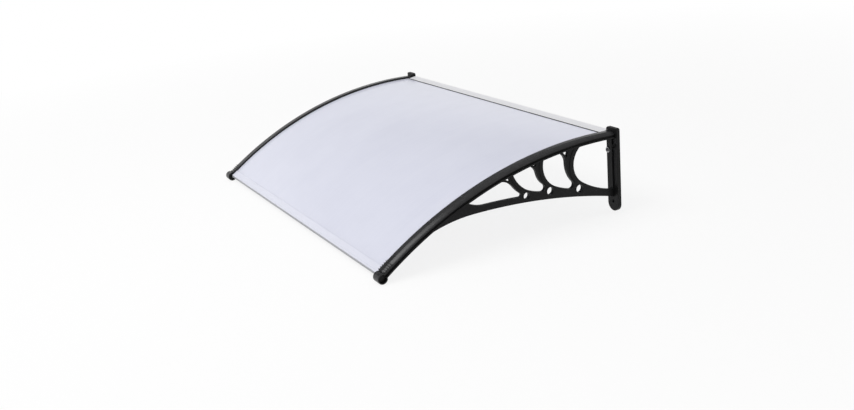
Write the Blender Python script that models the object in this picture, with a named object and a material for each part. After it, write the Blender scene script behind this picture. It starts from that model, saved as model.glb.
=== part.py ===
"""Door canopy with a curved plastic sheet between two moulded brackets.

The wall is the plane y = 0, the canopy reaches towards -Y, and z = 0 is the top of the wall plates.
Everything that follows the roof line is laid out in one side plane, as a radius and an angle about
the roof's centre of curvature.
"""

import math

import bmesh
import bpy
from mathutils import Matrix, Vector

# Fits between pieces
GAP = 0.0003
SIDE_GAP = 0.0004

# How finely arcs are drawn, and how close points are one
ARC_STEP = 0.0055
ARC_TURN = math.radians(18.0)
WELD = 0.000001

# Roof line: top of the cover strips, in the side plane, with its highest point at ROOF_Y
ROOF_R = 1.180
ROOF_Y = -0.088
ROOF_TOP = -0.0075
ROOF_Z = ROOF_TOP - ROOF_R
ROOF_STEP = math.radians(1.6)

# Sheet and its seals
SHEET_W = 1.200
SHEET_T = 0.003
SHEET_DEPTH = 0.0072
SEAL_T = 0.001
SEAL_OUT = 0.0008
SEAL_IN = 0.0008
SEAL_SHORT = 0.004

# Cover strip
STRIP_W = 0.0305
STRIP_SIDE = 0.010
STRIP_UNDER = 0.0056
STRIP_SLOPE_W = 0.0115
STRIP_SLOPE_H = 0.0060
STRIP_SKIRT = 0.0074
STRIP_SKIRT_T = 0.0026
STRIP_BULGE = 0.45
STRIP_LINE_W = 0.0011
STRIP_LINE_H = 0.0007
STRIP_EDGE = 0.0012
GRIP_COUNT = 5
GRIP_PITCH = 0.0070
GRIP_W = 0.0037
GRIP_H = 0.0026
GRIP_INSET = 0.0004
GRIP_SINK = 0.0005
GRIP_START = 0.0142

# Front end of arm and strip
NOSE_Y = -0.7722
NOSE_DEPTH = 0.0106
NOSE_RECESS = 0.0070
CURL_R = 0.0147
CURL_T = 0.0030
CURL_PROUD = 0.0008
CURL_INSET = 0.0030
CURL_TOP = math.radians(155.0)
CURL_END = math.radians(-137.0)

# Arm of the bracket
ARM_DEPTH = 0.0181
ARM_FLANGE = 0.0043
ARM_LEDGE = 0.0012
ARM_SLOPE = 0.0008
ARM_STOP_W = 0.0067

# Pierced web under the arm; a drop is measured down from the arm's underside
WEB_T = 0.010
WEB_SINK = 0.003
LOW_Y = -0.485
LOW_DROP = 0.0433
LOW_REAR_R = 1.765
LOW_FRONT_R = 0.438
LOW_H = 0.022
LOW_H_MID = 0.0235
LOW_H_FRONT = 0.0178
TIP_R = 0.100
TIP_BACK = 0.040
TIP_REACH = 0.047
OPENING_ROUND = 0.003

# Crescents, rear to front, in units of TRACERY: inner circle, outer circle, the roundings at the
# strut and at the heel, the ring hole, the bead's distance from the inner circle, the eye's wall side
TRACERY = 0.100
CRESCENTS = (
    {"in_y": -0.858, "in_drop": 0.549, "in_r": 0.646, "turn": 235.0,
     "out_y": -0.874, "out_drop": 0.410, "out_r": 0.899, "strut_r": 0.320, "heel_r": 0.112,
     "heel_y": -1.535, "hole_y": -1.327, "hole_drop": 1.246, "hole_r": 0.118, "bead": 0.130,
     "eye_y": -1.660, "eye_lean": 19.0},
    {"in_y": -1.828, "in_drop": 0.319, "in_r": 0.705, "turn": 240.0,
     "out_y": -2.134, "out_drop": 0.299, "out_r": 0.632, "strut_r": 0.330, "heel_r": 0.103,
     "heel_y": -2.535, "hole_y": -2.328, "hole_drop": 0.992, "hole_r": 0.115, "bead": 0.115,
     "eye_y": -2.735, "eye_lean": 21.0},
    {"in_y": -2.581, "in_drop": -0.113, "in_r": 0.994, "turn": 245.0,
     "out_y": -2.581, "out_drop": -0.113, "out_r": 1.170, "strut_r": 0.560, "heel_r": 0.050,
     "heel_y": -3.290, "hole_y": -3.122, "hole_drop": 0.815, "hole_r": 0.099, "bead": 0.088,
     "eye_y": -3.650, "eye_lean": -14.0},
)
STRUT_W = 0.0062
EYE_TOP = 0.0038
EYE_ROUND = 0.0010
RING_W = 0.0030
RING_H = 0.0010
BEAD_W = 0.0052
BEAD_H = 0.0018
BEAD_FLANK = 0.001
BEAD_STOP = math.radians(14.0)

# Wall plate
PLATE_W = 0.046
PLATE_H = 0.2485
PLATE_T = 0.011
PLATE_TOP_R = 0.0060
PLATE_EDGE = 0.0013
RIB_H = 0.004
HOLE_R = 0.0035
SINK_R = 0.0055
HOLE_UP_X = 0.0105
HOLE_UP_Z = -0.0530
HOLE_LOW_Z = -0.2191
BOSS_R = 0.0078
BOSS_H = 0.0016
LUG_X = 0.0168
LUG_Z = -0.0680
LUG_R = 0.0092
LUG_RAISE = 0.0006

# Screw in the lug
LUG_SCREW_R = 0.0027
LUG_HEAD_R = 0.0050
LUG_HEAD_H = 0.0030
LUG_HEX = 0.0020
LUG_SCREW_BACK = 0.0005
WASHER_R = 0.0080
WASHER_T = 0.0012

# Screws that pull the strip down, placed by their share of the way from wall to nose
PULL_SCREW_R = 0.0016
PULL_HEAD_R = 0.0033
PULL_HEAD_H = 0.0021
PULL_BITE = 0.0020
PULL_SHARES = (0.078, 0.427, 0.790)

# How far a cutter runs past the face that it opens
PAST = 0.004

# Aluminium bars
BAR_T = 0.0016
FRONT_LIP = 0.0103
FRONT_LOW_LIP = 0.012
FRONT_WALL_T = 0.0023
FRONT_PAST = 0.0090
FRONT_FACE_H = 0.0066
FRONT_ROLL_W = 0.0056
FRONT_ROLL_H = 0.0012
REAR_LIP_Y = -0.029
REAR_LIP_T = 0.0014
REAR_LOW_Y = -0.024
REAR_LEG_H = 0.0285
REAR_LEG_T = 0.0025
REAR_BACK = 0.0005
REAR_TOP = 0.0005
PLUG_T = 0.0018
WIPER_W = 0.0026
WIPER_H = 0.0014

# Radii of the layers that follow the roof line
R_STRIP_UNDER = ROOF_R - STRIP_UNDER
R_SHEET_TOP = ROOF_R - SHEET_DEPTH
R_SHEET_LOW = R_SHEET_TOP - SHEET_T
R_SEAT = R_SHEET_LOW - GAP - SEAL_T - GAP
R_ARM_LOW = ROOF_R - ARM_DEPTH

# Places across the canopy
STRIP_OUT_X = SHEET_W / 2 + STRIP_SIDE
STRIP_IN_X = STRIP_OUT_X - STRIP_W
ARM_X = STRIP_OUT_X - STRIP_W / 2

# Nose centre and its angle on the roof line
NOSE_RAD = ROOF_R - NOSE_DEPTH
NOSE_A = math.asin((ROOF_Y - NOSE_Y) / NOSE_RAD)
NOSE_Z = ROOF_Z + NOSE_RAD * math.cos(NOSE_A)
NOSE_R = CURL_R - CURL_T - GAP

# The angle where the layers start, clear of the wall plate
REAR_A = math.asin((ROOF_Y + PLATE_T + GAP) / ROOF_R)


def clear_scene():
    for ob in list(bpy.data.objects):
        bpy.data.objects.remove(ob, do_unlink=True)


def material(name, colour, rough, metal=0.0):
    mat = bpy.data.materials.new(name)
    mat.use_nodes = True
    shader = mat.node_tree.nodes["Principled BSDF"]
    shader.inputs["Base Color"].default_value = (*colour, 1.0)
    shader.inputs["Roughness"].default_value = rough
    shader.inputs["Metallic"].default_value = metal
    return mat


def finish(bm, name, mat, place, sharp=30.0):
    """Turn a bmesh into a named object whose faces point out."""
    bmesh.ops.remove_doubles(bm, verts=bm.verts, dist=WELD)
    bmesh.ops.recalc_face_normals(bm, faces=bm.faces)
    mesh = bpy.data.meshes.new(name)
    bm.to_mesh(mesh)
    bm.free()
    mesh.shade_smooth()
    mesh.set_sharp_from_angle(angle=math.radians(sharp))
    ob = bpy.data.objects.new(name, mesh)
    ob.location = place
    ob.data.materials.append(mat)
    bpy.context.collection.objects.link(ob)
    ob.parent = bpy.data.objects["canopy"]
    return ob


def helper(bm, name, place):
    """A solid that only shapes another one."""
    ob = finish(bm, name, bpy.data.materials["guide"], place)
    ob.hide_render = True
    ob.display_type = "WIRE"
    return ob


def combine(ob, tool, how):
    mod = ob.modifiers.new(tool.name, "BOOLEAN")
    mod.operation = how
    mod.solver = "EXACT"
    mod.object = tool


def settle(ob, sharp=30.0):
    """Keep the combined shape as the object's own mesh and mark its sharp edges."""
    graph = bpy.context.evaluated_depsgraph_get()
    mesh = bpy.data.meshes.new_from_object(ob.evaluated_get(graph))
    tools = [mod.object for mod in ob.modifiers]
    ob.modifiers.clear()
    ob.data = mesh
    for tool in tools:
        bpy.data.objects.remove(tool, do_unlink=True)
    mesh.shade_smooth()
    mesh.set_sharp_from_angle(angle=math.radians(sharp))
    return ob


def loft(bm, rings):
    """Close a row of equal rings into one solid."""
    rows = [[bm.verts.new(p) for p in ring] for ring in rings]
    for a, b in zip(rows, rows[1:]):
        for i in range(len(a)):
            j = (i + 1) % len(a)
            bm.faces.new((a[i], a[j], b[j], b[i]))
    bm.faces.new(rows[0])
    bm.faces.new(list(reversed(rows[-1])))


def prism_x(bm, outline, x0, x1):
    """A side-plane outline of (y, z) points, drawn out along X."""
    loft(bm, [[(x, y, z) for y, z in outline] for x in (x0, x1)])


def prism_y(bm, outline, y0, y1):
    loft(bm, [[(x, y, z) for x, z in outline] for y in (y0, y1)])


def disc_points(cy, cz, r, count, start=0.0):
    angles = [start + 2 * math.pi * i / count for i in range(count)]
    return [(cy + r * math.cos(a), cz + r * math.sin(a)) for a in angles]


def turned(bm, profile, centre, axis, count):
    """Revolve (radius, height) points about an axis through the centre."""
    turn = Vector((0, 0, 1)).rotation_difference(Vector(axis)).to_matrix()
    rings = []
    for r, h in profile:
        ring = []
        for i in range(count):
            a = 2 * math.pi * i / count
            ring.append(Vector(centre) + turn @ Vector((r * math.cos(a), r * math.sin(a), h)))
        rings.append(ring)
    loft(bm, rings)


def roof_point(r, a):
    return ROOF_Y - r * math.sin(a), ROOF_Z + r * math.cos(a)


def roof_angle(y, r):
    return math.asin((ROOF_Y - y) / r)


def roof_z(y, r):
    return ROOF_Z + math.sqrt(r * r - (y - ROOF_Y) ** 2)


def roof_stations(a0, a1):
    """Angles from a0 to a1 on one grid that all layers share."""
    first = math.floor(a0 / ROOF_STEP) + 1
    inner = []
    k = first
    while k * ROOF_STEP < a1 - ROOF_STEP * 0.25:
        if k * ROOF_STEP > a0 + ROOF_STEP * 0.25:
            inner.append(k * ROOF_STEP)
        k += 1
    return [a0] + inner + [a1]


def before_nose(length):
    return NOSE_A - length / NOSE_RAD


def sweep_roof(bm, section, a0, a1):
    """Carry a section of (x, radius) points along the roof line."""
    rings = []
    for a in roof_stations(a0, a1):
        rings.append([(x, *roof_point(r, a)) for x, r in section])
    loft(bm, rings)


def across(side, u):
    """Distance u in from the strip's outer edge, as x about the arm's middle."""
    return side * (STRIP_W / 2 - u)


def section_across(side, points):
    return [(across(side, u), r) for u, r in points]


# Outlines made of arcs: an edge is a circle the opening lies in or out of, or a line


def inside(cy, cz, r):
    return ("in", Vector((cy, cz)), r)


def outside(cy, cz, r):
    return ("out", Vector((cy, cz)), r)


def line(y, z, ny, nz):
    return ("line", Vector((y, z)), Vector((ny, nz)).normalized())


def depth(edge, p):
    """How far p lies into the opening from an edge, and the way inwards."""
    kind, c, r = edge
    if kind == "line":
        return (p - c).dot(r), r
    d = p - c
    if kind == "in":
        return r - d.length, -d.normalized()
    return d.length - r, d.normalized()


def fillet_centre(e1, e2, r, start):
    p = Vector(start)
    for _ in range(30):
        d1, g1 = depth(e1, p)
        d2, g2 = depth(e2, p)
        m = Matrix(((g1.x, g1.y), (g2.x, g2.y)))
        p = p + m.inverted() @ Vector((r - d1, r - d2))
    return p


def arc_points(centre, p, q):
    """Points from p to q the short way round a centre, q left out."""
    a0 = math.atan2(p.y - centre.y, p.x - centre.x)
    a1 = math.atan2(q.y - centre.y, q.x - centre.x)
    sweep = (a1 - a0 + math.pi) % (2 * math.pi) - math.pi
    r = (p - centre).length
    by_length = min(10, math.ceil(abs(sweep) * r / ARC_STEP))
    count = max(1, math.ceil(abs(sweep) / ARC_TURN), by_length)
    return [centre + r * Vector((math.cos(a0 + sweep * i / count), math.sin(a0 + sweep * i / count)))
            for i in range(count)]


def outline(edges, corners):
    """Join edges in order; a corner is (fillet radius, start point) or a fixed point."""
    joints = []
    for i, corner in enumerate(corners):
        e1 = edges[i]
        e2 = edges[(i + 1) % len(edges)]
        if isinstance(corner, Vector):
            joints.append((corner, None, corner))
            continue
        radius, start = corner
        c = fillet_centre(e1, e2, radius, start)
        joints.append((c - depth(e1, c)[1] * radius, c, c - depth(e2, c)[1] * radius))
    points = []
    for i, edge in enumerate(edges):
        begin = joints[i - 1][2]
        end, c, after = joints[i]
        if edge[0] == "line":
            points.append(begin)
        else:
            points += arc_points(edge[1], begin, end)
        if c is None:
            continue
        points += arc_points(c, end, after)
    return [(p.x, p.y) for p in points]


def measured(c):
    """A crescent's sizes in metres, with heights in place of drops and angles in radians."""
    sizes = {}
    for key, value in c.items():
        if key in ("turn", "eye_lean"):
            sizes[key] = math.radians(value)
        else:
            sizes[key] = value * TRACERY
    for part in ("in", "out", "hole"):
        under_arm = roof_z(sizes[part + "_y"], R_ARM_LOW)
        sizes[part + "_z"] = under_arm - sizes[part + "_drop"]
    return sizes


ARM_EDGE = inside(ROOF_Y, ROOF_Z, R_ARM_LOW)
LOW_Z = roof_z(LOW_Y, R_ARM_LOW) - LOW_DROP
RIB_Y = -(PLATE_T + RIB_H)
PIERCED = [measured(c) for c in CRESCENTS]


def low_z(y):
    """Underside of the lower arm."""
    r = LOW_REAR_R if y > LOW_Y else LOW_FRONT_R
    return LOW_Z - r + math.sqrt(r * r - (y - LOW_Y) ** 2)


def sweep_circle(c, end):
    """The flatter arc that leaves a crescent's inner circle and reaches the end point."""
    n = Vector((math.cos(c["turn"]), math.sin(c["turn"])))
    leave = Vector((c["in_y"], c["in_z"])) + n * c["in_r"]
    r = (end - leave).length_squared / (2 * n.dot(leave - end))
    centre = leave - n * r
    return inside(centre.x, centre.y, r), leave


def strut_centre(c):
    """Middle of the round between a crescent's outer circle and the arm."""
    edge = outside(c["out_y"], c["out_z"], c["out_r"])
    y = c["out_y"] - c["out_r"] - 0.3 * c["strut_r"]
    start = (y, roof_z(y, R_ARM_LOW) - c["strut_r"])
    return fillet_centre(ARM_EDGE, edge, c["strut_r"], start)


def under_arm_corner(y):
    """Start for a small rounding between the arm and what hangs from it at y."""
    return y, roof_z(y, R_ARM_LOW) - OPENING_ROUND


def rear_side(k):
    """The wall side of opening k with its upper and lower corner."""
    if k == 0:
        end = Vector((RIB_Y, low_z(RIB_Y) + LOW_H))
        heel = end + Vector((-OPENING_ROUND, OPENING_ROUND))
        edge = line(RIB_Y, 0.0, -1.0, 0.0)
        return edge, (OPENING_ROUND, under_arm_corner(RIB_Y - OPENING_ROUND)), (OPENING_ROUND, heel), end
    c = PIERCED[k - 1]
    height = LOW_H_MID if k < len(PIERCED) else LOW_H_FRONT
    end = Vector((c["heel_y"], low_z(c["heel_y"]) + height))
    heel = end + Vector((-c["heel_r"], c["heel_r"]))
    edge = outside(c["out_y"], c["out_z"], c["out_r"])
    return edge, (c["strut_r"], strut_centre(c)), (c["heel_r"], heel), end


def opening_outline(k):
    """Opening k counts from the wall; the last one runs out to a point under the arm."""
    rear, top_corner, heel, end = rear_side(k)
    if k < len(PIERCED):
        c = PIERCED[k]
        low, leave = sweep_circle(c, end)
        front = inside(c["in_y"], c["in_z"], c["in_r"])
        tip_y = c["in_y"] - 0.7 * c["in_r"]
    else:
        middle = Vector((LOW_Y, LOW_Z - LOW_REAR_R))
        up = (Vector((LOW_Y + TIP_BACK, LOW_Z)) - middle).normalized()
        leave = middle + up * (LOW_REAR_R + LOW_H_FRONT)
        centre = leave + up * TIP_R
        low = outside(middle.x, middle.y, LOW_REAR_R + LOW_H_FRONT)
        front = inside(centre.x, centre.y, TIP_R)
        tip_y = leave.x - TIP_REACH
    tip = (OPENING_ROUND / 2, under_arm_corner(tip_y))
    return outline([ARM_EDGE, rear, low, front], [top_corner, heel, leave, tip])


def eye_outline(c):
    """Small three-sided hole between a strut, the arm and its crescent."""
    f = strut_centre(c)
    top_z = roof_z(c["eye_y"], R_ARM_LOW) - EYE_TOP
    strut = outside(f.x, f.y, c["strut_r"] + STRUT_W)
    arm = inside(ROOF_Y, ROOF_Z, R_ARM_LOW - EYE_TOP)
    body = line(c["eye_y"], top_z, -math.cos(c["eye_lean"]), math.sin(c["eye_lean"]))
    middle = (c["eye_y"] - STRUT_W, top_z - STRUT_W)
    return outline([arm, body, strut], [(EYE_ROUND, middle)] * 3)


def web_outline():
    """Outer edge of the web: sunk into arm and plate, free along the lower arm."""
    guess = 0.8 * NOSE_Y
    front_arc = outside(LOW_Y, LOW_Z - LOW_FRONT_R, LOW_FRONT_R)
    meet = fillet_centre(ARM_EDGE, front_arc, 0.0, (guess, roof_z(guess, R_ARM_LOW)))
    back_y = -PLATE_T + WEB_SINK
    top_r = R_ARM_LOW + WEB_SINK
    points = []
    for a in roof_stations(roof_angle(back_y, top_r), roof_angle(meet.x, top_r)):
        points.append(roof_point(top_r, a))
    for start, end, count in ((meet.x, LOW_Y, 8), (LOW_Y, back_y, 14)):
        for i in range(count):
            y = start + (end - start) * i / count
            points.append((y, low_z(y)))
    points.append((back_y, low_z(back_y)))
    return points


def arm_section(side):
    stop_in = STRIP_SIDE - GAP
    flange_top = R_ARM_LOW + ARM_FLANGE
    neck = STRIP_SKIRT_T + GAP
    return section_across(side, [
        (neck, R_STRIP_UNDER - GAP),
        (stop_in, R_STRIP_UNDER - GAP),
        (stop_in, R_SEAT),
        (STRIP_W, R_SEAT),
        (STRIP_W, R_ARM_LOW),
        (-ARM_LEDGE, R_ARM_LOW),
        (-ARM_LEDGE, flange_top),
        (neck, flange_top + ARM_SLOPE),
    ])


def slope_point(t):
    """The strip's outer side bulges: t runs from 0 at the edge to 1 at the top."""
    a = t * math.pi / 2
    u = STRIP_SLOPE_W * (STRIP_BULGE * (1 - math.cos(a)) + (1 - STRIP_BULGE) * t)
    h = STRIP_SLOPE_H * (STRIP_BULGE * math.sin(a) + (1 - STRIP_BULGE) * t)
    return u, ROOF_R - STRIP_SLOPE_H + h


def strip_top(lift=0.0, inset=0.0):
    """Upper contour of the strip from the outer edge to the inner edge."""
    points = []
    for i in range(5):
        u, r = slope_point(i / 4)
        points.append((max(u, inset), r + lift))
    if not lift:
        points.append((STRIP_SLOPE_W + STRIP_LINE_W, ROOF_R - STRIP_LINE_H))
        points.append((STRIP_SLOPE_W + 2 * STRIP_LINE_W, ROOF_R))
    points.append((STRIP_W - STRIP_EDGE, ROOF_R + lift))
    points.append((STRIP_W - inset, ROOF_R - STRIP_EDGE + lift))
    return points


def strip_section(side):
    points = strip_top()
    points.append((STRIP_W, R_STRIP_UNDER))
    points.append((STRIP_SKIRT_T, R_STRIP_UNDER))
    points.append((STRIP_SKIRT_T, ROOF_R - STRIP_SKIRT))
    points.append((0.0, ROOF_R - STRIP_SKIRT))
    return section_across(side, points)


def grip_section(side, lift):
    points = strip_top(lift, GRIP_INSET)
    points.append((STRIP_W - GRIP_INSET, R_STRIP_UNDER + GRIP_SINK))
    points.append((STRIP_SKIRT_T, R_STRIP_UNDER + GRIP_SINK))
    points.append((GRIP_INSET, ROOF_R - STRIP_SLOPE_H - GRIP_SINK))
    return section_across(side, points)


def nose_axes():
    """Forward and upward directions at the nose, in the side plane."""
    return Vector((-math.cos(NOSE_A), -math.sin(NOSE_A))), Vector((-math.sin(NOSE_A), math.cos(NOSE_A)))


def curl_outline():
    fore, up = nose_axes()
    n = Vector((NOSE_Y, NOSE_Z))
    count = 22
    outer, inner = [], []
    for i in range(count + 1):
        a = CURL_TOP + (CURL_END - CURL_TOP) * i / count
        way = fore * math.cos(a) + up * math.sin(a)
        outer.append(n + way * CURL_R)
        inner.append(n + way * (CURL_R - CURL_T))
    return [(p.x, p.y) for p in outer + inner[::-1]]


def place_of(side):
    return (side * ARM_X, 0.0, 0.0)


def pull_frame(side, share):
    """Foot of a strip screw under the arm, and the way it points."""
    u = (STRIP_SKIRT_T + STRIP_SIDE) / 2
    a = roof_angle(share * NOSE_Y, R_ARM_LOW)
    foot = Vector((across(side, u), *roof_point(R_ARM_LOW, a)))
    return foot, Vector((0.0, -math.sin(a), math.cos(a)))


def web_part(name, side, mat):
    """The pierced web with its beads and the rims of the ring holes."""
    place = place_of(side)
    bm = bmesh.new()
    prism_x(bm, web_outline(), -WEB_T / 2, WEB_T / 2)
    web = finish(bm, name, mat, place)
    bm = bmesh.new()
    for k in range(len(PIERCED) + 1):
        prism_x(bm, opening_outline(k), -WEB_T, WEB_T)
    for c in PIERCED:
        prism_x(bm, eye_outline(c), -WEB_T, WEB_T)
    combine(web, helper(bm, name + "_openings", place), "DIFFERENCE")
    bm = bmesh.new()
    for c in PIERCED:
        bead_bar(bm, c)
    combine(web, helper(bm, name + "_beads", place), "UNION")
    bm = bmesh.new()
    for c in PIERCED:
        rim = disc_points(c["hole_y"], c["hole_z"], c["hole_r"] + RING_W, 24)
        prism_x(bm, rim, -WEB_T / 2 - RING_H, WEB_T / 2 + RING_H)
    combine(web, helper(bm, name + "_rims", place), "UNION")
    return web


def bracket_holes(side):
    """Ring holes, countersunk wall holes, the lug's hole and the counterbored holes in the arm."""
    bm = bmesh.new()
    for c in PIERCED:
        prism_x(bm, disc_points(c["hole_y"], c["hole_z"], c["hole_r"], 24), -WEB_T, WEB_T)
    wall_hole(bm, side * HOLE_UP_X, HOLE_UP_Z, PLATE_T + BOSS_H)
    wall_hole(bm, 0.0, HOLE_LOW_Z, PLATE_T)
    r = LUG_SCREW_R + GAP
    turned(bm, [(r, -PAST), (r, PLATE_T + PAST)], (-side * LUG_X, 0.0, LUG_Z), (0, -1, 0), 16)
    for share in PULL_SHARES:
        foot, up = pull_frame(side, share)
        r, bore = PULL_SCREW_R + GAP, PULL_HEAD_R + GAP
        seat = PULL_HEAD_H + GAP
        through = R_STRIP_UNDER - R_ARM_LOW + PAST
        turned(bm, [(bore, -PAST), (bore, seat), (r, seat), (r, through)], foot, up, 12)
    return bm


def make_bracket(name, side, mat):
    place = place_of(side)
    bracket = web_part(name, side, mat)
    start = roof_angle(-PLATE_T + WEB_SINK, R_ARM_LOW)
    bm = bmesh.new()
    sweep_roof(bm, arm_section(side), start, before_nose(NOSE_R * 0.75))
    combine(bracket, helper(bm, name + "_arm", place), "UNION")
    bm = bmesh.new()
    nose = disc_points(NOSE_Y, NOSE_Z, NOSE_R, 26, NOSE_A)
    prism_x(bm, nose, across(side, NOSE_RECESS), across(side, STRIP_W - CURL_INSET))
    combine(bracket, helper(bm, name + "_nose", place), "UNION")
    combine(bracket, helper(plate_mesh(), name + "_plate", place), "UNION")
    bm = bmesh.new()
    lug = disc_points(-side * LUG_X, LUG_Z, LUG_R, 24)
    prism_y(bm, lug, -LUG_RAISE, -PLATE_T - LUG_RAISE)
    combine(bracket, helper(bm, name + "_lug", place), "UNION")
    bm = bmesh.new()
    boss = disc_points(side * HOLE_UP_X, HOLE_UP_Z, BOSS_R, 24)
    prism_y(bm, boss, -PLATE_T / 2, -PLATE_T - BOSS_H)
    combine(bracket, helper(bm, name + "_boss", place), "UNION")
    combine(bracket, helper(bracket_holes(side), name + "_holes", place), "DIFFERENCE")
    return settle(bracket)


def bead_bar(bm, c):
    """Raised bead along a crescent: one bar through the web shows on both faces."""
    r = c["in_r"] + c["bead"]
    y = c["in_y"] - 0.8 * r
    edge = inside(c["in_y"], c["in_z"], r)
    top = fillet_centre(ARM_EDGE, edge, 0.0, (y, roof_z(y, R_ARM_LOW)))
    a0 = math.atan2(top.y - c["in_z"], top.x - c["in_y"]) % (2 * math.pi) - WEB_SINK / r
    a1 = c["turn"] - BEAD_STOP
    flank = WEB_T / 2 - BEAD_FLANK
    crest = WEB_T / 2 + BEAD_H
    half, ridge = BEAD_W / 2, BEAD_W / 5
    section = [(-crest, -ridge), (-crest, ridge), (-flank, half), (flank, half),
               (crest, ridge), (crest, -ridge), (flank, -half), (-flank, -half)]
    count = 12
    rings = []
    for i in range(count + 1):
        a = a0 + (a1 - a0) * i / count
        rings.append([(x, c["in_y"] + (r + d) * math.cos(a), c["in_z"] + (r + d) * math.sin(a))
                      for x, d in section])
    loft(bm, rings)


def plate_mesh():
    """Wall plate: round foot, rounded upper corners, eased front edges."""
    half = PLATE_W / 2
    points = []
    count = 16
    for i in range(count + 1):
        a = math.pi + math.pi * i / count
        points.append((half * math.cos(a), -PLATE_H + half + half * math.sin(a)))
    for sign, start in ((1, 0.0), (-1, math.pi / 2)):
        for i in range(5):
            a = start + math.pi / 2 * i / 4
            x = sign * (half - PLATE_TOP_R) + PLATE_TOP_R * math.cos(a)
            points.append((x, -PLATE_TOP_R + PLATE_TOP_R * math.sin(a)))
    bm = bmesh.new()
    prism_y(bm, points, 0.0, -PLATE_T)
    bmesh.ops.recalc_face_normals(bm, faces=bm.faces)
    front = [e for e in bm.edges if all(abs(v.co.y + PLATE_T) < WELD for v in e.verts)]
    bmesh.ops.bevel(bm, geom=front, offset=PLATE_EDGE, segments=2, profile=0.5, affect="EDGES")
    return bm


def wall_hole(bm, x, z, thick):
    """Countersunk hole along Y, wide mouth at the front."""
    cone = SINK_R - HOLE_R
    profile = [(HOLE_R, -PAST), (HOLE_R, thick - cone), (SINK_R + PAST, thick + PAST)]
    turned(bm, profile, (x, 0.0, z), (0, -1, 0), 20)


def make_strip(name, side, mat):
    place = place_of(side)
    overlap = (CURL_R - CURL_T / 2) * math.cos(math.pi - CURL_TOP)
    bm = bmesh.new()
    sweep_roof(bm, strip_section(side), REAR_A, before_nose(overlap - GAP))
    strip = finish(bm, name, mat, place)
    bm = bmesh.new()
    prism_x(bm, curl_outline(), across(side, -CURL_PROUD), across(side, STRIP_W - CURL_INSET))
    combine(strip, helper(bm, name + "_curl", place), "UNION")
    bm = bmesh.new()
    for i in range(GRIP_COUNT):
        at = GRIP_START + i * GRIP_PITCH
        grip_bar(bm, side, before_nose(at + GRIP_W / 2), before_nose(at - GRIP_W / 2))
    combine(strip, helper(bm, name + "_grips", place), "UNION")
    bm = bmesh.new()
    low = R_STRIP_UNDER - R_ARM_LOW
    for share in PULL_SHARES:
        foot, up = pull_frame(side, share)
        r = PULL_SCREW_R + GAP
        turned(bm, [(r, low - GAP), (r, low + PULL_BITE)], foot, up, 10)
    combine(strip, helper(bm, name + "_pilots", place), "DIFFERENCE")
    return settle(strip)


def grip_bar(bm, side, a0, a1):
    """One grip rib across the strip, narrower at its top."""
    section = grip_section(side, GRIP_H)
    base = grip_section(side, -GRIP_INSET)
    quarter = (a1 - a0) / 4
    rings = []
    for a, shape in ((a0, base), (a0 + quarter, section), (a1 - quarter, section), (a1, base)):
        rings.append([(x, *roof_point(r, a)) for x, r in shape])
    loft(bm, rings)


def make_layer(name, mat, place, x0, x1, r0, r1, a0, a1):
    bm = bmesh.new()
    sweep_roof(bm, [(x0, r0), (x1, r0), (x1, r1), (x0, r1)], a0, a1)
    return finish(bm, name, mat, place)


def sheet_front():
    return before_nose(NOSE_R + SIDE_GAP)


def sheet_rear():
    return roof_angle(-PLATE_T - GAP, R_SHEET_TOP)


def bar_arc(y0, y1, r, count):
    """Points along the roof line between two depths."""
    points = []
    for i in range(count + 1):
        y = y0 + (y1 - y0) * i / count
        points.append((y, roof_z(y, r)))
    return points


def front_roll(face_y, r):
    """Half-round roll along the front edge of the upper lip, from its rear foot to the face."""
    points = []
    count = 7
    for i in range(count + 1):
        a = math.pi * i / count
        y = face_y + FRONT_ROLL_W / 2 * (1 + math.cos(a))
        points.append((y, roof_z(y, r + FRONT_ROLL_H * math.sin(a))))
    return points


def front_bar_outline():
    """Slot over the sheet's edge, a roll and an upright face in front, a sloping chin behind it."""
    edge_y, _ = roof_point(R_SHEET_TOP, sheet_front())
    face_y = edge_y - FRONT_PAST
    wall_y = face_y + FRONT_WALL_T
    upper = R_SHEET_TOP + GAP
    lower = R_SHEET_LOW - GAP
    top = roof_z(face_y, upper + BAR_T)
    points = bar_arc(edge_y + FRONT_LIP, face_y + FRONT_ROLL_W, upper + BAR_T, 3)[:-1]
    points += front_roll(face_y, upper + BAR_T)
    points.append((face_y, top - FRONT_FACE_H))
    points += bar_arc(wall_y + FRONT_WALL_T, edge_y + FRONT_LOW_LIP, lower - BAR_T, 3)
    points += bar_arc(edge_y + FRONT_LOW_LIP, wall_y, lower, 3)
    points += bar_arc(wall_y, edge_y + FRONT_LIP, upper, 3)
    return points


def rear_bar_outline():
    slot_y = -PLATE_T
    upper = R_SHEET_TOP + GAP
    lower = R_SHEET_LOW - GAP
    leg_z = roof_z(0.0, ROOF_R) - REAR_LEG_H
    return [
        (-REAR_BACK, roof_z(-REAR_BACK, ROOF_R - REAR_TOP)),
        (-REAR_BACK - REAR_LEG_T, roof_z(-REAR_BACK - REAR_LEG_T, ROOF_R - REAR_TOP)),
        (REAR_LIP_Y, roof_z(REAR_LIP_Y, upper + REAR_LIP_T)),
        (REAR_LIP_Y, roof_z(REAR_LIP_Y, upper)),
        (slot_y, roof_z(slot_y, upper)),
        (slot_y, roof_z(slot_y, lower)),
        (REAR_LOW_Y, roof_z(REAR_LOW_Y, lower)),
        (REAR_LOW_Y, roof_z(REAR_LOW_Y, lower - BAR_T)),
        (-REAR_BACK - REAR_LEG_T, roof_z(-REAR_BACK - REAR_LEG_T, lower - BAR_T)),
        (-REAR_BACK - REAR_LEG_T, leg_z),
        (-REAR_BACK, leg_z),
    ]


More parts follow.
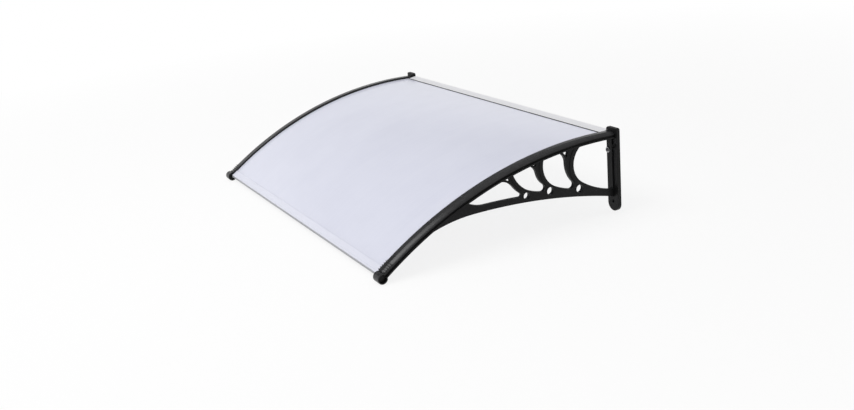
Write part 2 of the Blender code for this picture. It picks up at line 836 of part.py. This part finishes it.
def make_bars(metal, rubber, plug_mat):
    half = STRIP_IN_X - SEAL_OUT - SIDE_GAP
    bm = bmesh.new()
    prism_x(bm, front_bar_outline(), -half, half)
    finish(bm, "front_bar", metal, (0, 0, 0))

    plate_in = ARM_X - PLATE_W / 2
    plug_out = plate_in - GAP
    bar_half = plug_out - PLUG_T - GAP
    bm = bmesh.new()
    prism_x(bm, rear_bar_outline(), -bar_half, bar_half)
    finish(bm, "rear_bar", metal, (0, 0, 0))
    for word, side in (("right", 1), ("left", -1)):
        bm = bmesh.new()
        prism_x(bm, rear_bar_outline(), side * (plug_out - PLUG_T), side * plug_out)
        finish(bm, "rear_plug_" + word, plug_mat, (0, 0, 0))

    base = R_SHEET_TOP + GAP
    y1 = REAR_LIP_Y - GAP
    y0 = y1 - WIPER_W
    wiper = [(y1, roof_z(y1, base)), (y1, roof_z(y1, base + WIPER_H)),
             (y0 + WIPER_W / 2, roof_z(y0, base + WIPER_H)), (y0, roof_z(y0, base + WIPER_H / 4)),
             (y0, roof_z(y0, base))]
    bm = bmesh.new()
    prism_x(bm, wiper, -bar_half, bar_half)
    finish(bm, "rear_wiper", rubber, (0, 0, 0))


def make_seals(word, side, rubber):
    place = place_of(side)
    end = before_nose(NOSE_R + SIDE_GAP + SEAL_SHORT)
    start = sheet_rear()
    top = R_SHEET_TOP + GAP
    x0, x1 = across(side, STRIP_SIDE + SEAL_IN), across(side, STRIP_W + SEAL_OUT)
    make_layer("upper_seal_" + word, rubber, place, x0, x1, top, top + SEAL_T, start, end)
    low = R_SHEET_LOW - GAP
    x1 = across(side, STRIP_W - SEAL_IN)
    make_layer("lower_seal_" + word, rubber, place, x0, x1, low - SEAL_T, low, start, end)


def make_lug_screw(word, side, steel, washer_mat):
    x = side * (ARM_X - LUG_X)
    face = PLATE_T + LUG_RAISE
    bm = bmesh.new()
    inner = LUG_SCREW_R + GAP
    ring(bm, inner, WASHER_R, face + GAP, WASHER_T, 28)
    finish(bm, "lug_washer_" + word, washer_mat, (x, 0.0, LUG_Z))
    top = face + GAP + WASHER_T + GAP
    profile = [(LUG_SCREW_R, LUG_SCREW_BACK), (LUG_SCREW_R, top), (LUG_HEAD_R, top),
               (LUG_HEAD_R, top + LUG_HEAD_H * 0.45), (LUG_HEAD_R * 0.8, top + LUG_HEAD_H * 0.85),
               (LUG_HEX * 1.05, top + LUG_HEAD_H), (LUG_HEX * 0.9, top + LUG_HEAD_H * 0.35)]
    bm = bmesh.new()
    turned(bm, profile, (0, 0, 0), (0, -1, 0), 18)
    finish(bm, "lug_screw_" + word, steel, (x, 0.0, LUG_Z))


def ring(bm, inner, outer, start, thick, count):
    """Flat ring about the Y axis, from depth start outwards."""
    rows = []
    for r, y in ((inner, start), (outer, start), (outer, start + thick), (inner, start + thick)):
        rows.append([bm.verts.new((x, -y, z)) for x, z in disc_points(0.0, 0.0, r, count)])
    for a, b in zip(rows, rows[1:] + rows[:1]):
        for i in range(count):
            j = (i + 1) % count
            bm.faces.new((a[i], a[j], b[j], b[i]))


def make_pull_screws(word, side, steel):
    reach = R_STRIP_UNDER - R_ARM_LOW + PULL_BITE - GAP
    profile = [(PULL_HEAD_R * 0.6, 0.0), (PULL_HEAD_R, PULL_HEAD_H * 0.4), (PULL_HEAD_R, PULL_HEAD_H),
               (PULL_SCREW_R, PULL_HEAD_H), (PULL_SCREW_R, reach)]
    for n, share in enumerate(PULL_SHARES):
        foot, up = pull_frame(side, share)
        bm = bmesh.new()
        turned(bm, profile, (0, 0, 0), up, 12)
        at = (side * ARM_X + foot.x, foot.y, foot.z)
        finish(bm, "strip_screw_%s_%d" % (word, n + 1), steel, at)


def main():
    clear_scene()
    root = bpy.data.objects.new("canopy", None)
    bpy.context.collection.objects.link(root)
    material("guide", (0.8, 0.2, 0.2), 0.5)
    black = material("bracket_black", (0.022, 0.022, 0.024), 0.48)
    cover = material("strip_black", (0.035, 0.036, 0.040), 0.42)
    sheet = material("sheet_opal", (0.72, 0.74, 0.86), 0.18)
    alu = material("bar_aluminium", (0.62, 0.63, 0.64), 0.38, 1.0)
    rubber = material("seal_rubber", (0.03, 0.03, 0.03), 0.8)
    plug = material("plug_grey", (0.35, 0.35, 0.37), 0.55)
    steel = material("screw_steel", (0.45, 0.45, 0.46), 0.35, 1.0)
    washer = material("washer_steel", (0.55, 0.56, 0.57), 0.35, 1.0)

    make_layer("panel", sheet, (0, 0, 0), -SHEET_W / 2, SHEET_W / 2, R_SHEET_LOW, R_SHEET_TOP,
               sheet_rear(), sheet_front())
    make_bars(alu, rubber, plug)
    for word, side in (("right", 1), ("left", -1)):
        make_bracket("bracket_" + word, side, black)
        make_strip("cover_strip_" + word, side, cover)
        make_seals(word, side, rubber)
        make_lug_screw(word, side, steel, washer)
        make_pull_screws(word, side, steel)


main()
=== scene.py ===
"""Look of the door canopy: finer edges, materials, light and camera."""
import math

import bmesh
import bpy
from mathutils import Matrix, Vector

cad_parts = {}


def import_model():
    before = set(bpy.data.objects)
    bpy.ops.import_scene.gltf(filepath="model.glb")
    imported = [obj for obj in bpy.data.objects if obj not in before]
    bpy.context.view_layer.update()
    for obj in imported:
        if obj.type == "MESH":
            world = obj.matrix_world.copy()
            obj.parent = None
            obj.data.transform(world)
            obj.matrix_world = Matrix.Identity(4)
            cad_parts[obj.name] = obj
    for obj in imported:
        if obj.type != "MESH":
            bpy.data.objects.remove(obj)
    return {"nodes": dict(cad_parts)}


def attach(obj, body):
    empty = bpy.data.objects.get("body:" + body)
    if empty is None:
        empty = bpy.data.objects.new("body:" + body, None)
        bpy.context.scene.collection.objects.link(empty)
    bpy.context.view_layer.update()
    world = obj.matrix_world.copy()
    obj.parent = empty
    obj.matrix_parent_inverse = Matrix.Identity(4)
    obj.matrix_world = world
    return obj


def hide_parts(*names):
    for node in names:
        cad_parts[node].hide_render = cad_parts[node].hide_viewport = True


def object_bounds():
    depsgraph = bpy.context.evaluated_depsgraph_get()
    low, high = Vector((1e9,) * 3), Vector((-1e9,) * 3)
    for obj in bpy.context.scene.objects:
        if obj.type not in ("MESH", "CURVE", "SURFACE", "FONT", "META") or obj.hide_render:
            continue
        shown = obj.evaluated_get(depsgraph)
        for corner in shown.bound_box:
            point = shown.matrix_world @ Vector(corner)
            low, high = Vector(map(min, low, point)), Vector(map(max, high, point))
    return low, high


# Camera, as the photograph was taken
CAM_AT = (2.6912, -1.7203, 0.7395)
CAM_TURN = 1.1072
CAM_DOWN = 0.3315
CAM_ROLL = 0.1008
CAM_FOCAL_PX = 971.8
CAM_CENTRE_PX = (407.9, 205.2)
IMAGE_PX = (854, 410)
SENSOR_MM = 36.0
SIGHT_M = 200.0

# Studio: round white floor that curves up into a low wall, under a room that is paler overhead
FLOOR_COLOUR = (0.93, 0.93, 0.93)
FLOOR_FLECK = 0.01
FLOOR_FLECK_SIZE = 0.4
FLOOR_GAP = 0.0006
FLOOR_R = 6.5
FLOOR_STEPS = 96
FLOOR_WELD = 0.0005
COVE_R = 1.2
COVE_STEPS = 10
WALL_H = 3.0

# Share of plain white in the floor, near and far, and the distances between which it grows
FLOOR_GLOW = (0.85, 1.00)
FLOOR_GLOW_R = (1.0, 3.5)

# Strength of the room's light, low and high, and the upward slopes of view between which it grows
ROOM_LOW = 0.16
ROOM_HIGH = 0.75
RISE_FROM = 0.45
RISE_TO = 0.90

# The one lamp, a large soft one in front of the canopy and above it
LAMP_AT = (0.1, -2.1, 2.7)
LAMP_AIM = (0.1, -0.4, -0.1)
LAMP_SIZE = (2.4, 1.6)
LAMP_WATTS = 56.0

# Mesh finish
WELD = 0.000002
FLAT_ANGLE = math.radians(0.4)
EDGE_ANGLE = math.radians(34.0)
SMOOTH_ANGLE = math.radians(32.0)

# Record slots of the moulded pieces, and how much each piece's edges are eased
SLOTS = {
    "bracket_black": ("bracket_left", "bracket_right"),
    "strip_black": ("cover_strip_left", "cover_strip_right"),
    "plug_grey": ("rear_plug_left", "rear_plug_right"),
}
EDGES = {"bracket_black": 0.0006, "strip_black": 0.00045, "plug_grey": 0.0003}
BAR_EDGE = 0.00025
SMALL_EDGE = 0.00015
EDGE_STEPS = 2
NORMAL_WEIGHT = 80

# Colours of the finishes, darker and paler end of each
BRACKET_BLACK = ((0.0060, 0.0060, 0.0063), (0.0090, 0.0090, 0.0094))
STRIP_BLACK = ((0.0100, 0.0101, 0.0112), (0.0150, 0.0152, 0.0165))
OPAL = ((0.735, 0.750, 0.865), (0.758, 0.773, 0.885))
OPAL_LINES = (0.785, 0.797, 0.900)
# The two bars share one aluminium: the front copy is darker as painted shade, the rear copy paler
# as painted light
FRONT_METAL_PAINTED_SHADE = ((0.77, 0.785, 0.89), (0.82, 0.83, 0.925))
REAR_METAL_PAINTED_LIGHT = ((0.88, 0.88, 0.91), (0.92, 0.92, 0.945))
# Painted shade: the greyer colour that the bars' upright faces take
UPRIGHT_PAINTED_SHADE = (0.36, 0.365, 0.39)
RUBBER = ((0.018, 0.018, 0.019), (0.032, 0.032, 0.033))
PLUG_GREY = ((0.40, 0.40, 0.42), (0.47, 0.47, 0.49))
DARK_STEEL = ((0.10, 0.10, 0.105), (0.16, 0.16, 0.165))
STAINLESS = ((0.40, 0.40, 0.41), (0.52, 0.52, 0.53))
DUST = (0.16, 0.16, 0.165)
DUST_MOST = 0.10

# Sizes of the patterns in metres: width of a speck or line, and depth of its relief
GRAIN, GRAIN_DEPTH = 0.0007, 0.00012
FLOW_MARK = 0.045
SINK_WAVE, SINK_DEPTH = 0.03, 0.0004
DUST_PATCH = 0.012
OPAL_CLOUD = 0.16
DRAW_LINE, DRAW_DEPTH = 0.010, 0.00025
OPAL_GRAIN, OPAL_DEPTH = 0.0011, 0.00003
OPAL_SCATTER = 0.004
DIE_LINE, DIE_DEPTH = 0.0009, 0.00006
METAL_CLOUD = 0.05
RUBBER_GRAIN, RUBBER_DEPTH = 0.0012, 0.00010
RUBBER_CLOUD = 0.02
PLUG_GRAIN, PLUG_DEPTH = 0.0009, 0.00008
PLUG_CLOUD = 0.012
SPANGLE, SPANGLE_DEPTH = 0.0016, 0.00004
STEEL_CLOUD = 0.004

# Scale of the drawn and flowing patterns along X, Y and Z; a small one makes long lines
FLOW_STRETCH = (1.0, 0.35, 1.0)
DRAW_STRETCH = (1.0, 0.015, 0.015)
DIE_STRETCH = (0.004, 1.0, 1.0)


def set_range(node, start, end, low, high):
    for key, number in (("From Min", start), ("From Max", end), ("To Min", low), ("To Max", high)):
        node.inputs[key].default_value = number


class Nodes:
    """Short way to write a material's node tree."""

    def __init__(self, name):
        self.mat = bpy.data.materials.new(name)
        self.mat.use_nodes = True
        self.tree = self.mat.node_tree
        self.shader = self.tree.nodes["Principled BSDF"]
        self.place = self.add("ShaderNodeTexCoord").outputs["Object"]

    def add(self, kind, **settings):
        node = self.tree.nodes.new(kind)
        for key, value in settings.items():
            setattr(node, key, value)
        return node

    def link(self, source, target):
        self.tree.links.new(source, target)

    def stretched(self, scale):
        node = self.add("ShaderNodeMapping")
        node.inputs["Scale"].default_value = scale
        self.link(self.place, node.inputs["Vector"])
        return node.outputs["Vector"]

    def noise(self, size, detail=2.0, rough=0.5, stretch=None):
        node = self.add("ShaderNodeTexNoise")
        node.inputs["Scale"].default_value = 1.0 / size
        node.inputs["Detail"].default_value = detail
        node.inputs["Roughness"].default_value = rough
        self.link(self.stretched(stretch) if stretch else self.place, node.inputs["Vector"])
        return node.outputs["Fac"]

    def spread(self, value, low, high, start=0.3, end=0.7):
        """Map a 0 to 1 pattern to a range of values."""
        node = self.add("ShaderNodeMapRange")
        self.link(value, node.inputs["Value"])
        set_range(node, start, end, low, high)
        return node.outputs["Result"]

    def blend(self, factor, first, second):
        node = self.add("ShaderNodeMix", data_type="RGBA")
        self.link(factor, node.inputs["Factor"])
        for socket, colour in ((node.inputs[6], first), (node.inputs[7], second)):
            if isinstance(colour, tuple):
                socket.default_value = (*colour, 1.0)
            else:
                self.link(colour, socket)
        return node.outputs[2]

    def bump(self, height, depth, strength, below=None):
        node = self.add("ShaderNodeBump")
        node.inputs["Distance"].default_value = depth
        node.inputs["Strength"].default_value = strength
        self.link(height, node.inputs["Height"])
        if below is not None:
            self.link(below, node.inputs["Normal"])
        return node.outputs["Normal"]

    def tone(self, pattern, ends):
        """The darker end of a finish to its paler end, by a pattern."""
        return self.blend(self.spread(pattern, 0.0, 1.0), *ends)

    def facing_up(self, start, end):
        """0 to 1 as the surface turns upwards."""
        geometry = self.add("ShaderNodeNewGeometry")
        split = self.add("ShaderNodeSeparateXYZ")
        self.link(geometry.outputs["Normal"], split.inputs["Vector"])
        return self.spread(split.outputs["Z"], 0.0, 1.0, start, end)

    def times(self, a, b):
        node = self.add("ShaderNodeMath", operation="MULTIPLY")
        self.link(a, node.inputs[0])
        self.link(b, node.inputs[1])
        return node.outputs["Value"]

    def set(self, **values):
        for key, value in values.items():
            self.shader.inputs[key.replace("_", " ")].default_value = value

    def feed(self, colour=None, rough=None, normal=None):
        for key, value in (("Base Color", colour), ("Roughness", rough), ("Normal", normal)):
            if value is not None:
                self.link(value, self.shader.inputs[key])


def moulded_plastic(name, ends, rough, specular):
    """Black plastic: fine spark grain, faint flow marks, a little dust on upper faces."""
    n = Nodes(name)
    flow = n.noise(FLOW_MARK, detail=3.0, rough=0.55, stretch=FLOW_STRETCH)
    patches = n.noise(DUST_PATCH, detail=4.0, rough=0.7)
    dust = n.times(n.facing_up(0.35, 0.95), n.spread(patches, 0.0, DUST_MOST, 0.45, 0.75))
    colour = n.blend(dust, n.tone(flow, ends), DUST)
    grain = n.bump(n.noise(GRAIN, rough=0.6), GRAIN_DEPTH, strength=0.70)
    wave = n.bump(n.noise(SINK_WAVE, detail=1.0), SINK_DEPTH, strength=0.25, below=grain)
    n.feed(colour, n.spread(flow, rough - 0.05, rough + 0.06), wave)
    n.set(Specular_IOR_Level=specular)
    return n.mat


def opal_sheet(name):
    """Milky polycarbonate: drawn in one direction, so its faint lines run from wall to front."""
    n = Nodes(name)
    cloud = n.noise(OPAL_CLOUD, detail=3.0, rough=0.6)
    lines = n.noise(DRAW_LINE, rough=0.6, stretch=DRAW_STRETCH)
    colour = n.blend(n.spread(lines, 0.0, 0.35), n.tone(cloud, OPAL), OPAL_LINES)
    ridges = n.bump(lines, DRAW_DEPTH, strength=0.20)
    normal = n.bump(n.noise(OPAL_GRAIN, detail=1.0), OPAL_DEPTH, strength=0.30, below=ridges)
    n.feed(colour, n.spread(cloud, 0.20, 0.27), normal)
    n.set(IOR=1.58, Specular_IOR_Level=0.35)
    n.set(Subsurface_Weight=0.12, Subsurface_Scale=OPAL_SCATTER)
    n.shader.inputs["Subsurface Radius"].default_value = (1.0, 1.0, 1.0)
    return n.mat


def drawn_aluminium(name, ends, rough, metal):
    """Anodised extrusion: fine die lines along the bar, and painted shade that makes its upright
    faces greyer.
    """
    n = Nodes(name)
    lines = n.noise(DIE_LINE, rough=0.7, stretch=DIE_STRETCH)
    cloud = n.noise(METAL_CLOUD)
    # Painted shade: faces that turn away from upward blend to the greyer colour
    colour = n.blend(n.facing_up(0.05, 0.75), UPRIGHT_PAINTED_SHADE, n.tone(lines, ends))
    n.feed(colour, n.spread(cloud, rough, rough + 0.08), n.bump(lines, DIE_DEPTH, strength=0.5))
    n.set(Metallic=metal, Specular_IOR_Level=0.4)
    return n.mat


def soft_rubber(name):
    n = Nodes(name)
    speck = n.noise(RUBBER_GRAIN, detail=3.0, rough=0.6)
    colour = n.tone(n.noise(RUBBER_CLOUD, detail=3.0), RUBBER)
    n.feed(colour, n.spread(speck, 0.70, 0.85), n.bump(speck, RUBBER_DEPTH, strength=0.6))
    return n.mat


def grey_plug(name):
    n = Nodes(name)
    speck = n.noise(PLUG_GRAIN, rough=0.6)
    colour = n.tone(n.noise(PLUG_CLOUD, detail=3.0), PLUG_GREY)
    n.feed(colour, n.spread(speck, 0.45, 0.58), n.bump(speck, PLUG_DEPTH, strength=0.5))
    return n.mat


def plated_steel(name, ends, rough):
    n = Nodes(name)
    spangle = n.noise(SPANGLE, detail=3.0, rough=0.6)
    worn = n.spread(n.noise(STEEL_CLOUD), rough - 0.06, rough + 0.08)
    n.feed(n.tone(spangle, ends), worn, n.bump(spangle, SPANGLE_DEPTH, strength=0.5))
    n.set(Metallic=1.0)
    return n.mat


def shown(name, data):
    """A new object in the scene."""
    ob = bpy.data.objects.new(name, data)
    bpy.context.scene.collection.objects.link(ob)
    return ob


def paint(node, mat):
    """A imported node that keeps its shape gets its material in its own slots."""
    for holder in frame["nodes"][node].material_slots:
        holder.material = mat


def welded(node, mat):
    """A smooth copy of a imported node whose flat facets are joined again."""
    name = node + "_look"
    mesh = frame["nodes"][node].data.copy()
    mesh.name = name
    bm = bmesh.new()
    bm.from_mesh(mesh)
    bmesh.ops.remove_doubles(bm, verts=bm.verts, dist=WELD)
    bmesh.ops.dissolve_limit(bm, angle_limit=FLAT_ANGLE, verts=bm.verts, edges=bm.edges)
    bm.to_mesh(mesh)
    bm.free()
    mesh.materials.clear()
    mesh.materials.append(mat)
    mesh.shade_smooth()
    return shown(name, mesh)


def stand_in(ob, node):
    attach(ob, "root")
    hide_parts(node)


def dress(node, mat, edge):
    """The node's own shape with its moulded or drawn edges eased."""
    ob = welded(node, mat)
    ease = ob.modifiers.new("edges", "BEVEL")
    ease.width = edge
    ease.segments = EDGE_STEPS
    ease.limit_method = "ANGLE"
    ease.angle_limit = EDGE_ANGLE
    ease.use_clamp_overlap = True
    even = ob.modifiers.new("normals", "WEIGHTED_NORMAL")
    even.keep_sharp = True
    even.weight = NORMAL_WEIGHT
    stand_in(ob, node)


def dress_curved(node, mat):
    """The node's own shape, smooth over its curve and sharp at its edges."""
    ob = welded(node, mat)
    ob.data.set_sharp_from_angle(angle=SMOOTH_ANGLE)
    stand_in(ob, node)


def dress_all():
    black = moulded_plastic("bracket black", BRACKET_BLACK, rough=0.42, specular=0.16)
    cover = moulded_plastic("strip black", STRIP_BLACK, rough=0.28, specular=0.37)
    looks = {"bracket_black": black, "strip_black": cover, "plug_grey": grey_plug("plug")}
    for slot, nodes in SLOTS.items():
        for node in nodes:
            dress(node, looks[slot], EDGES[slot])
    # Shaded and lit copies of one aluminium: painted shade on the front bar, painted light on the
    # rear bar
    front = drawn_aluminium("front aluminium", FRONT_METAL_PAINTED_SHADE, rough=0.32, metal=0.10)
    rear = drawn_aluminium("rear aluminium", REAR_METAL_PAINTED_LIGHT, rough=0.42, metal=0.20)
    dress("front_bar", front, BAR_EDGE)
    dress("rear_bar", rear, BAR_EDGE)
    dress_curved("panel", opal_sheet("opal sheet"))
    dress_small_parts()


def dress_small_parts():
    rubber = soft_rubber("rubber")
    dark = plated_steel("dark steel", DARK_STEEL, rough=0.36)
    stainless = plated_steel("stainless", STAINLESS, rough=0.30)
    for node in sorted(frame["nodes"]):
        if "seal" in node or "wiper" in node:
            paint(node, rubber)
        elif "strip_screw" in node:
            paint(node, dark)
        elif "lug_washer" in node:
            dress(node, stainless, SMALL_EDGE)
        elif "lug_screw" in node:
            dress(node, dark, SMALL_EDGE)


def camera():
    level = Vector((math.cos(CAM_TURN), math.sin(CAM_TURN), 0.0))
    away = Vector((-math.sin(CAM_TURN), math.cos(CAM_TURN), 0.0)) * math.cos(CAM_DOWN)
    away.z = -math.sin(CAM_DOWN)
    below = away.cross(level)
    right = math.cos(CAM_ROLL) * level + math.sin(CAM_ROLL) * below
    down = math.cos(CAM_ROLL) * below - math.sin(CAM_ROLL) * level
    data = bpy.data.cameras.new("camera")
    data.sensor_width = SENSOR_MM
    data.lens = CAM_FOCAL_PX / IMAGE_PX[0] * SENSOR_MM
    data.shift_x = (IMAGE_PX[0] / 2 - CAM_CENTRE_PX[0]) / IMAGE_PX[0]
    data.shift_y = -(IMAGE_PX[1] / 2 - CAM_CENTRE_PX[1]) / IMAGE_PX[0]
    data.clip_end = SIGHT_M
    place = Matrix((right, -down, -away)).transposed().to_4x4()
    place.translation = Vector(CAM_AT)
    ob = shown("camera", data)
    ob.matrix_world = place
    bpy.context.scene.camera = ob


def seen_directly(tree):
    """1 for rays that should meet the plain white background."""
    path = tree.nodes.new("ShaderNodeLightPath")
    total = path.outputs["Is Camera Ray"]
    for key in ("Is Glossy Ray", "Is Transmission Ray"):
        node = tree.nodes.new("ShaderNodeMath")
        node.operation = "MAXIMUM"
        tree.links.new(total, node.inputs[0])
        tree.links.new(path.outputs[key], node.inputs[1])
        total = node.outputs["Value"]
    return total


def world():
    """A room that is dim near the horizon and pale overhead."""
    scene = bpy.context.scene
    scene.world = bpy.data.worlds.new("studio")
    scene.world.use_nodes = True
    tree = scene.world.node_tree
    way = tree.nodes.new("ShaderNodeTexCoord")
    split = tree.nodes.new("ShaderNodeSeparateXYZ")
    tree.links.new(way.outputs["Generated"], split.inputs["Vector"])
    rise = tree.nodes.new("ShaderNodeMapRange")
    set_range(rise, RISE_FROM, RISE_TO, ROOM_LOW, ROOM_HIGH)
    tree.links.new(split.outputs["Z"], rise.inputs["Value"])
    tree.links.new(rise.outputs["Result"], tree.nodes["Background"].inputs["Strength"])
    tree.nodes["Background"].inputs["Color"].default_value = (1.0, 1.0, 1.0, 1.0)


def studio_profile(level):
    """Radius and height from the floor's middle out and up the wall."""
    flat_r = FLOOR_R - COVE_R
    points = [(0.0, level), (flat_r, level)]
    for i in range(1, COVE_STEPS + 1):
        a = math.pi / 2 * i / COVE_STEPS
        points.append((flat_r + COVE_R * math.sin(a), level + COVE_R * (1 - math.cos(a))))
    points.append((FLOOR_R, level + WALL_H))
    return points


def floor_mesh(level):
    bm = bmesh.new()
    verts = [bm.verts.new((r, 0.0, z)) for r, z in studio_profile(level)]
    edges = [bm.edges.new(pair) for pair in zip(verts, verts[1:])]
    bmesh.ops.spin(bm, geom=verts + edges, cent=(0, 0, 0), axis=(0, 0, 1), dvec=(0, 0, 0),
                   angle=2 * math.pi, steps=FLOOR_STEPS)
    bmesh.ops.remove_doubles(bm, verts=bm.verts, dist=FLOOR_WELD)
    mesh = bpy.data.meshes.new("floor")
    bm.to_mesh(mesh)
    bm.free()
    mesh.shade_smooth()
    return mesh


def floor_finish():
    """Matt white that takes the shadow and fades out to plain white."""
    n = Nodes("floor")
    n.set(Roughness=0.9, Specular_IOR_Level=0.0)
    fleck = tuple(min(1.0, c + FLOOR_FLECK) for c in FLOOR_COLOUR)
    n.feed(n.blend(n.noise(FLOOR_FLECK_SIZE, detail=3.0), FLOOR_COLOUR, fleck))
    far = n.add("ShaderNodeVectorMath", operation="LENGTH")
    n.link(n.place, far.inputs[0])
    glow_share = n.spread(far.outputs["Value"], *FLOOR_GLOW, *FLOOR_GLOW_R)
    glow = n.add("ShaderNodeEmission")
    mix = n.add("ShaderNodeMixShader")
    n.link(n.times(seen_directly(n.tree), glow_share), mix.inputs["Fac"])
    n.link(n.shader.outputs["BSDF"], mix.inputs[1])
    n.link(glow.outputs["Emission"], mix.inputs[2])
    n.link(mix.outputs["Shader"], n.tree.nodes["Material Output"].inputs["Surface"])
    return n.mat


def floor(level):
    mesh = floor_mesh(level)
    mesh.materials.append(floor_finish())
    shown("floor", mesh)


def lamp():
    data = bpy.data.lights.new("key", "AREA")
    data.shape = "RECTANGLE"
    data.size, data.size_y = LAMP_SIZE
    data.energy = LAMP_WATTS
    ob = shown("key", data)
    ob.location = LAMP_AT
    aim = Vector(LAMP_AIM) - Vector(LAMP_AT)
    ob.rotation_euler = aim.to_track_quat("-Z", "Y").to_euler()


def plain(bounds):
    return [list(corner) for corner in bounds]


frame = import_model()
before = plain(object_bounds())
dress_all()
camera()
world()
floor(before[0][2] - FLOOR_GAP)
lamp()
bpy.context.scene.view_settings.view_transform = "Standard"
